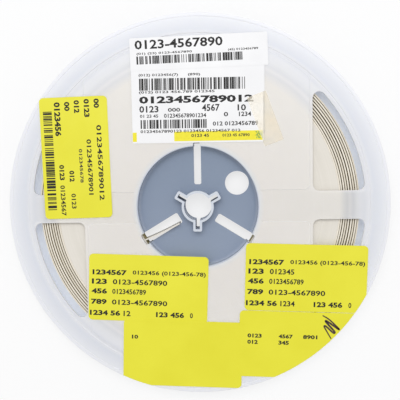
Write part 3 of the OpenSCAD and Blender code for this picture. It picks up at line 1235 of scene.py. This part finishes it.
    def build(self) -> bpy.types.Object:
        """Makes the whole tape as one piece that stands for its solid.

        Returns:
            The piece.
        """
        outer, inner = self.cell_angles(self.pitch)
        parts = MeshParts()
        self.add_tight_turns(parts)
        self.add_cells(parts, PunchedCell(with_pocket=True), outer)
        self.add_cells(parts, PunchedCell(with_pocket=False), inner)
        self.add_plain(parts, float(outer[0]), self.wound)
        self.add_tail(parts)
        piece = parts.object("wound_tape", smooth_angle=25.0)
        self.finish.dress(piece)
        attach(piece, BODY)
        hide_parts("carrier_tape")
        return piece


# ---- Labels and their print ------------------------------------------------


class Reading(Enum):
    """Which way a label's lines run on the reel, in degrees."""

    ACROSS = 0.0
    DOWN = -90.0


@dataclass(frozen=True)
class Digits:
    """A line of plain numbers, by its lower left corner, size and weight, in mm on the label."""

    text: str
    left: float
    base: float
    wide: float
    high: float
    bold: bool = False
    ink: Finish = BLACK_PRINT


class FlatMark:
    """A mark made of upright rectangles.

    The layer is its share of the print's height, less than one where other marks lie over it.
    """

    ink: Finish
    layer: float = 1.0

    def blocks(self) -> Points:
        """Gives the rectangles' left, lower, right and upper edges; each kind has its own."""
        raise NotImplementedError


@dataclass(frozen=True)
class Block(FlatMark):
    """A printed rectangle: its left, lower, right and upper edges, in mm on the label."""

    left: float
    low: float
    right: float
    high: float
    ink: Finish = BLACK_PRINT
    layer: float = 1.0

    def blocks(self) -> Points:
        """Gives the rectangle as one row of edges."""
        return np.array([[self.left, self.low, self.right, self.high]])


@dataclass(frozen=True)
class CellPatch(FlatMark):
    """A square patch of small printed cells, some left bare, made from a seed."""

    left: float
    low: float
    size: float
    cells: int
    seed: int
    ink: Finish = BLACK_PRINT
    printed: float = 0.65
    fill: float = 0.96

    def blocks(self) -> Points:
        """Gives the edges of the printed cells: about two thirds of a square grid.

        Returns:
            One row of edges for each printed cell.
        """
        rng = np.random.default_rng(self.seed)
        row, column = np.nonzero(rng.random((self.cells, self.cells)) < self.printed)
        step = self.size / self.cells
        left, low = self.left + column * step, self.low + row * step
        return np.stack([left, low, left + self.fill * step, low + self.fill * step], axis=1)


@dataclass(frozen=True)
class BarRow(FlatMark):
    """A row of bars of uneven widths, made from a seed."""

    left: float
    low: float
    wide: float
    high: float
    bars: int
    seed: int
    ink: Finish = BLACK_PRINT
    spread: float = 0.05
    widths: tuple[float, ...] = (1.0, 2.0, 3.0, 4.0)
    odds: tuple[float, ...] = (0.5, 0.28, 0.14, 0.08)

    def blocks(self) -> Points:
        """Gives the bars' edges: widths and gaps of one to four parts fill the row's width.

        Each bar then spreads a little to both sides, as thermal print does.

        Returns:
            One row of edges for each bar.
        """
        rng = np.random.default_rng(self.seed)
        parts = rng.choice(self.widths, size=2 * self.bars - 1, p=self.odds)
        edges = self.left + self.wide * np.concatenate([[0.0], np.cumsum(parts)]) / parts.sum()
        left, right = edges[0::2] - self.spread, edges[1::2] + self.spread
        low = np.full(len(left), self.low)
        return np.stack([left, low, right, low + self.high], axis=1)


@dataclass(frozen=True)
class PenStroke:
    """A quick pen mark: corners that the stroke passes through, in mm on the label."""

    corners: tuple[Plan, ...]
    wide: float = 0.95
    ink: Finish = PEN_INK


Mark = Digits | FlatMark | PenStroke


@dataclass
class StuckLabel:
    """One label on the front flange: its solid, its place and what is printed on it."""

    node: str
    centre: Plan
    turn: float
    stock: Finish
    marks: tuple[Mark, ...] = ()
    reading: Reading = Reading.ACROSS
    face_z: float = 11.5 * MM
    print_t: float = 0.012 * MM
    sunk: float = 0.2
    swell: float = 0.024
    bold_swell: float = 0.042
    smoothing: int = 3
    pen_ends: Plan = (0.06, 0.94)
    pen_taper: float = 0.4

    def flat_blocks(self, marks: list[FlatMark]) -> tuple[Points, Faces]:
        """Gives the boxes of all flat marks of one ink.

        Args:
            marks: The marks, in the order they are drawn.

        Returns:
            The boxes' points and faces.
        """
        edges = np.vstack([mark.blocks() for mark in marks]) * MM
        low = np.column_stack([edges[:, 0], edges[:, 1], np.zeros(len(edges))])
        layer = np.concatenate([np.full(len(mark.blocks()), mark.layer) for mark in marks])
        high = np.column_stack([edges[:, 2], edges[:, 3], layer * self.print_t])
        return boxes(low, high)

    def digits(self, mark: Digits) -> tuple[Points, Faces]:
        """Gives one line of numbers, its outline swelled by its weight and fitted to its box.

        Args:
            mark: The line.

        Returns:
            Its points and triangles.
        """
        curve = bpy.data.curves.new("line_of_digits", "FONT")
        curve.body = mark.text
        curve.resolution_u = 2
        curve.extrude = 0.5
        curve.offset = self.bold_swell if mark.bold else self.swell
        letters = scene_object("line_of_digits", curve)
        bpy.context.view_layer.update()
        depsgraph = bpy.context.evaluated_depsgraph_get()
        mesh = bpy.data.meshes.new_from_object(letters.evaluated_get(depsgraph))
        mesh.calc_loop_triangles()
        points = np.empty(len(mesh.vertices) * 3, np.float32)
        mesh.vertices.foreach_get("co", points)
        triangles = np.empty(len(mesh.loop_triangles) * 3, np.int32)
        mesh.loop_triangles.foreach_get("vertices", triangles)
        bpy.data.objects.remove(letters)
        bpy.data.curves.remove(curve)
        bpy.data.meshes.remove(mesh)
        points = points.reshape(-1, 3).astype(float)
        low, high = points.min(axis=0), points.max(axis=0)
        size = np.array([mark.wide * MM, mark.high * MM, self.print_t])
        place = np.array([mark.left * MM, mark.base * MM, 0.0])
        return place + (points - low) / (high - low) * size, triangles.reshape(-1, 3)

    def stroke(self, mark: PenStroke) -> tuple[Points, Faces]:
        """Gives a pen mark as a flat band along its corners, rounded and thinner at its ends.

        The path is the corners smoothed three times by taking points a quarter in from each end of
        every leg. The band stands half its width to each side of it, times sin(pi * share) to the
        taper's power, where the share runs along the path from just past 0 to just short of 1.

        Args:
            mark: The stroke.

        Returns:
            The band's points and faces.
        """
        path = np.array(mark.corners) * MM
        for _ in range(self.smoothing):
            first, second = path[:-1], path[1:]
            cut = np.stack([0.75 * first + 0.25 * second, 0.25 * first + 0.75 * second], axis=1)
            path = np.vstack([path[:1], cut.reshape(-1, 2), path[-1:]])
        along = np.gradient(path, axis=0)
        along /= np.linalg.norm(along, axis=1)[:, None]
        side = np.stack([-along[:, 1], along[:, 0]], axis=1)
        share = np.linspace(*self.pen_ends, len(path))[:, None]
        half = 0.5 * mark.wide * MM * np.sin(np.pi * share) ** self.pen_taper * side
        ring = np.stack([path - half, path + half, path + half, path - half], axis=1)
        points, faces = band(ring, 0.0, self.print_t)
        return points, np.vstack(faces)

    def build(self, sheet: bpy.types.Object) -> list[bpy.types.Object]:
        """Dresses the label's solid and makes one piece for each ink printed on it.

        Args:
            sheet: The label's solid.

        Returns:
            The printed pieces.
        """
        self.stock.dress(sheet)
        pieces = []
        for ink in dict.fromkeys(mark.ink for mark in self.marks):
            mine = [mark for mark in self.marks if mark.ink is ink]
            parts = MeshParts()
            flat = [mark for mark in mine if isinstance(mark, FlatMark)]
            if flat:
                parts.add(*self.flat_blocks(flat))
            for mark in mine:
                if isinstance(mark, Digits):
                    parts.add(*self.digits(mark))
                if isinstance(mark, PenStroke):
                    parts.add(*self.stroke(mark))
            shift = np.array([0.0, 0.0, self.face_z - self.sunk * self.print_t])
            parts.points = [
                turned(block + shift, self.turn + self.reading.value, self.centre)
                for block in parts.points
            ]
            piece = parts.object(f"{ink.name}_{self.node}")
            ink.dress(piece)
            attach(piece, BODY)
            pieces.append(piece)
        return pieces


# ---- The moulded reel ------------------------------------------------------


@dataclass
class MouldedReel:
    """The two plastic halves, which keep their solids and get their finishes here."""

    front: str = "front_half"
    rear: str = "rear_half"
    front_finish: Finish = MilkyFlange()
    rear_finish: Finish = MilkyHub()

    def build(self, nodes: dict[str, bpy.types.Object]) -> None:
        """Dresses both halves."""
        self.front_finish.dress(nodes[self.front])
        self.rear_finish.dress(nodes[self.rear])


# ---- The studio ------------------------------------------------------------


@dataclass
class Studio:
    """A pale floor, soft even light and the camera above the reel."""

    floor_size: float = 6.0
    floor_z: float = -0.00002
    floor_tone: Colour = paint(246, 246, 247)
    floor_white: float = 0.7
    sky: float = 0.625
    lamp_size: tuple[float, float] = (0.9, 0.6)
    lamp_power: float = 5.85
    lamp_place: tuple[float, float, float] = (0.0, 0.43, 1.0)
    camera_place: tuple[float, float, float] = (12.9 * MM, 26.0 * MM, 290.2 * MM)
    camera_aim: tuple[float, float, float] = (1.1 * MM, 3.3 * MM, 11.4 * MM)
    lens: float = 53.5
    clip: float = 0.01

    def floor_material(self) -> bpy.types.Material:
        """Makes the floor: plain diffuse, lifted to a white background where the camera sees it.

        Returns:
            The material.
        """
        material, bench = bare_material("studio_floor")
        matt = bench.add("ShaderNodeBsdfDiffuse", {"Color": (*self.floor_tone, 1.0)})
        glow = bench.add("ShaderNodeEmission", {"Color": (1.0, 1.0, 1.0, 1.0), "Strength": 1.0})
        seen = bench.add("ShaderNodeLightPath").outputs["Is Camera Ray"]
        share = bench.math("MULTIPLY", seen, self.floor_white)
        both = {0: share, 1: matt.outputs[0], 2: glow.outputs[0]}
        mixed = bench.add("ShaderNodeMixShader", both)
        bench.add("ShaderNodeOutputMaterial", {"Surface": mixed.outputs[0]})
        return material

    def build_floor(self) -> None:
        """Lays the floor under the reel."""
        half = self.floor_size / 2
        edge = np.linspace(-half, half, 5)
        x, y = (block.ravel() for block in np.meshgrid(edge, edge))
        parts = MeshParts()
        level = np.full(len(x), self.floor_z)
        parts.add(np.stack([x, y, level], axis=1), grid_faces(len(edge), len(edge)))
        floor = parts.object("studio_floor")
        floor.data.materials.append(self.floor_material())

    def build_light(self) -> None:
        """Sets an even white sky and one wide soft lamp."""
        world = bpy.data.worlds.new("studio_sky")
        bpy.context.scene.world = world
        world.use_nodes = True
        sky = world.node_tree.nodes["Background"]
        sky.inputs["Color"].default_value = (1.0, 1.0, 1.0, 1.0)
        sky.inputs["Strength"].default_value = self.sky
        lamp = bpy.data.lights.new("softbox", "AREA")
        lamp.shape = "RECTANGLE"
        lamp.size, lamp.size_y = self.lamp_size
        lamp.energy = self.lamp_power
        holder = scene_object("softbox", lamp)
        holder.location = self.lamp_place
        holder.rotation_euler = (-holder.location).to_track_quat("-Z", "Y").to_euler()

    def build_camera(self) -> None:
        """Stands the camera over the reel, leaning a little back and to the right, with +Y up."""
        back = (Vector(self.camera_place) - Vector(self.camera_aim)).normalized()
        right = Vector((0.0, 1.0, 0.0)).cross(back).normalized()
        turn = Matrix((right, back.cross(right), back)).transposed()
        data = bpy.data.cameras.new("camera")
        data.lens = self.lens
        data.clip_start = self.clip
        camera = scene_object("camera", data)
        camera.matrix_world = Matrix.Translation(self.camera_place) @ turn.to_4x4()
        bpy.context.scene.camera = camera

    def build(self) -> None:
        """Builds the floor, the light and the camera, and keeps colours as written."""
        bpy.context.scene.view_settings.view_transform = "Standard"
        self.build_floor()
        self.build_light()
        self.build_camera()


# ---- What is printed where -------------------------------------------------


def assembly_marks(second: str, second_wide: float, item: str) -> tuple[Mark, ...]:
    """Gives the five lines of an assembly label, each a bold heading number and a plain one.

    Args:
        second: The second line's plain number.
        second_wide: How wide that number is, in mm.
        item: The last line's first plain number.

    Returns:
        The marks.
    """
    return (
        Digits("1234567", -26.9, 6.0, 16.5, 2.6, True),
        Digits("0123456 (0123-456-78)", -7.6, 6.0, 35.0, 2.6),
        Digits("123", -27.2, 1.5, 7.3, 2.6, True),
        Digits(second, -17.1, 1.5, second_wide, 2.6),
        Digits("456", -27.3, -3.2, 7.5, 2.6, True),
        Digits("0123456789", -17.3, -3.2, 16.3, 2.6),
        Digits("789", -27.5, -8.4, 7.6, 2.6, True),
        Digits("0123-4567890", -17.4, -8.4, 26.7, 2.6),
        Digits("1234 56", -28.0, -13.8, 14.7, 2.6, True),
        Digits(item, -11.7, -13.8, 1.7 * len(item), 2.6),
        Digits("123 456", 4.0, -13.8, 13.5, 2.6, True),
        Digits("0", 20.3, -13.8, 1.4, 2.6),
    )


def stock_marks() -> tuple[Mark, ...]:
    """Gives the left label's marks.

    Returns:
        Numbers in five rows, and a long row of bars at the foot.
    """
    return (
        Digits("00", -27.4, 9.7, 4.4, 2.6, True),
        Digits("0123456789012", -15.1, 10.4, 35.5, 2.4),
        Digits("0123", -27.4, 5.0, 8.5, 2.6, True),
        Digits("012345678901", -8.6, 5.4, 26.2, 2.3),
        Digits("012", -27.0, 0.3, 6.0, 2.6, True),
        Digits("012345678", -4.2, 1.6, 16.0, 1.6, False, GREY_PRINT),
        Digits("00", -26.4, -4.3, 4.3, 2.6, True),
        Digits("012", 5.9, -3.5, 5.3, 2.4, True),
        Digits("0123", 16.8, -3.1, 7.2, 2.2),
        Digits("0123456", -26.4, -9.2, 15.9, 3.0, True),
        Digits("0123", 3.0, -8.2, 7.3, 2.4, True),
        Digits("01234567", 12.7, -8.2, 14.5, 2.3),
        BarRow(-22.1, -14.5, 46.4, 4.2, 44, 3),
    )


def top_marks() -> tuple[Mark, ...]:
    """Gives the upper white label's marks.

    Returns:
        A large number, two small grey ones and a long row of bars.
    """
    return (
        Digits("0123-4567890", -29.5, 2.2, 40.8, 4.3),
        Digits("(01) (23) 0123-4567890", -28.8, -0.5, 25.8, 1.3, False, GREY_PRINT),
        Digits("(45) 0123456789", 13.6, -0.5, 13.9, 1.3, False, GREY_PRINT),
        BarRow(-28.9, -4.6, 49.0, 3.7, 58, 5),
    )


def low_marks() -> tuple[Mark, ...]:
    """Gives the lower white label's marks, with its coloured foot band.

    Returns:
        Lines of numbers, two rows of bars, and the band's two blocks and patch.
    """
    return (
        Digits("(012) 0123456(7)", -27.4, 12.7, 18.4, 1.5, False, GREY_PRINT),
        Digits("(890)", -4.4, 12.7, 5.7, 1.5, False, GREY_PRINT),
        BarRow(-27.2, 6.5, 49.1, 5.5, 58, 6),
        Digits("(012) 0123 456.789 012345", -27.4, 4.8, 35.3, 1.5, False, GREY_PRINT),
        Digits("0123456789012", -27.4, 0.4, 53.2, 3.5, True),
        Digits("0123", -27.4, -3.7, 9.0, 3.1),
        Digits("000", -14.0, -3.5, 5.7, 1.8),
        Digits("4567", 1.9, -3.5, 8.2, 3.3),
        Digits("10", 18.4, -3.5, 3.9, 2.9),
        Digits("01 23 45", -27.2, -6.1, 8.6, 1.5, False, GREY_PRINT),
        Digits("012345678901234", -15.9, -6.3, 19.7, 2.0),
        Digits("0", 12.0, -6.1, 2.0, 2.1),
        Digits("1234", 19.0, -6.1, 5.7, 2.1),
        BarRow(-26.9, -11.2, 30.8, 4.1, 34, 7),
        Digits("012 0123456789", 6.8, -10.3, 21.1, 2.0),
        Digits("01234567890123 0123456 01234567 012", -27.1, -13.2, 46.8, 1.4, False, GREY_PRINT),
        Block(-30.8, -17.2, -28.9, -12.9, YELLOW_PRINT, 0.5),
        Block(-11.3, -17.2, 30.0, -12.7, YELLOW_PRINT, 0.5),
        CellPatch(26.6, -16.4, 3.3, 8, 4, GREEN_PRINT),
        Digits("0123 45", -3.3, -15.4, 8.3, 1.5, False, GREY_PRINT),
        Digits("0123 45 67890", 11.2, -15.4, 12.7, 1.4, False, GREY_PRINT),
    )


def all_labels() -> list[StuckLabel]:
    """Gives every label on the front flange, with its place and its marks.

    Returns:
        The labels.
    """
    pen = PenStroke(
        (
            (10.6, 14.7), (13.8, 13.0), (18.3, 8.7), (18.8, 8.0), (18.0, 8.4),
            (12.6, 12.2), (12.0, 12.2), (12.4, 11.4), (16.5, 7.2), (16.7, 6.4), (15.9, 6.3),
            (12.2, 9.8), (11.4, 9.7), (11.8, 8.7), (15.0, 3.5),
        )
    )
    parts_list = (
        Digits("0123", -24.7, 3.0, 6.8, 2.0, True),
        Digits("4567", -9.9, 3.0, 6.8, 2.0, True),
        Digits("8901", 1.7, 3.0, 6.8, 2.0, True),
        Digits("012", -24.7, -0.1, 5.0, 2.0, True),
        Digits("345", -9.9, -0.1, 5.0, 2.0, True),
        pen,
    )
    part_tag = (Digits("10", -24.6, 6.7, 3.0, 2.0, True),)
    left_set = assembly_marks("0123-4567890", 26.2, "12")
    right_set = assembly_marks("012345", 11.6, "1234")
    across, down = Reading.ACROSS, Reading.DOWN
    rows = [
        ("white_label_low", (0.1, 48.2), 0.9, WHITE_STOCK, low_marks(), across),
        ("white_label_top", (0.4, 72.05), 2.4, WHITE_STOCK, top_marks(), across),
        ("yellow_label_left", (-57.6, 23.0), 2.1, YELLOW_STOCK, stock_marks(), down),
        ("yellow_label_low_left", (-23.7, -39.3), -1.4, YELLOW_STOCK, left_set, across),
        ("yellow_label_right", (51.2, -33.6), -1.0, YELLOW_STOCK, right_set, across),
        ("yellow_label_low_mid", (-7.27, -71.01), -1.0, YELLOW_STOCK, part_tag, across),
        ("yellow_label_low_right", (48.43, -65.96), -1.0, YELLOW_STOCK, parts_list, across),
    ]
    return [StuckLabel(node, (x * MM, y * MM), *rest) for node, (x, y), *rest in rows]


def main() -> None:
    """Builds the reel's looks in order and reports each step."""
    logging.basicConfig(level=logging.INFO, format="%(name)s: %(message)s")
    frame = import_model()
    nodes = frame["nodes"]
    Studio().build()
    LOG.info("studio is set")
    MouldedReel().build(nodes)
    LOG.info("reel halves are dressed")
    tape = WoundTape().build()
    LOG.info("tape has %d faces", len(tape.data.polygons))
    ClearFilm().dress(nodes["cover_film"])
    ChipCeramic().dress(nodes["chip_resistors"])
    AGED_FILM.dress(nodes["clear_strip"])
    for label in all_labels():
        printed = label.build(nodes[label.node])
        LOG.info("%s carries %d printed pieces", label.node, len(printed))


if __name__ == "__main__":
    main()
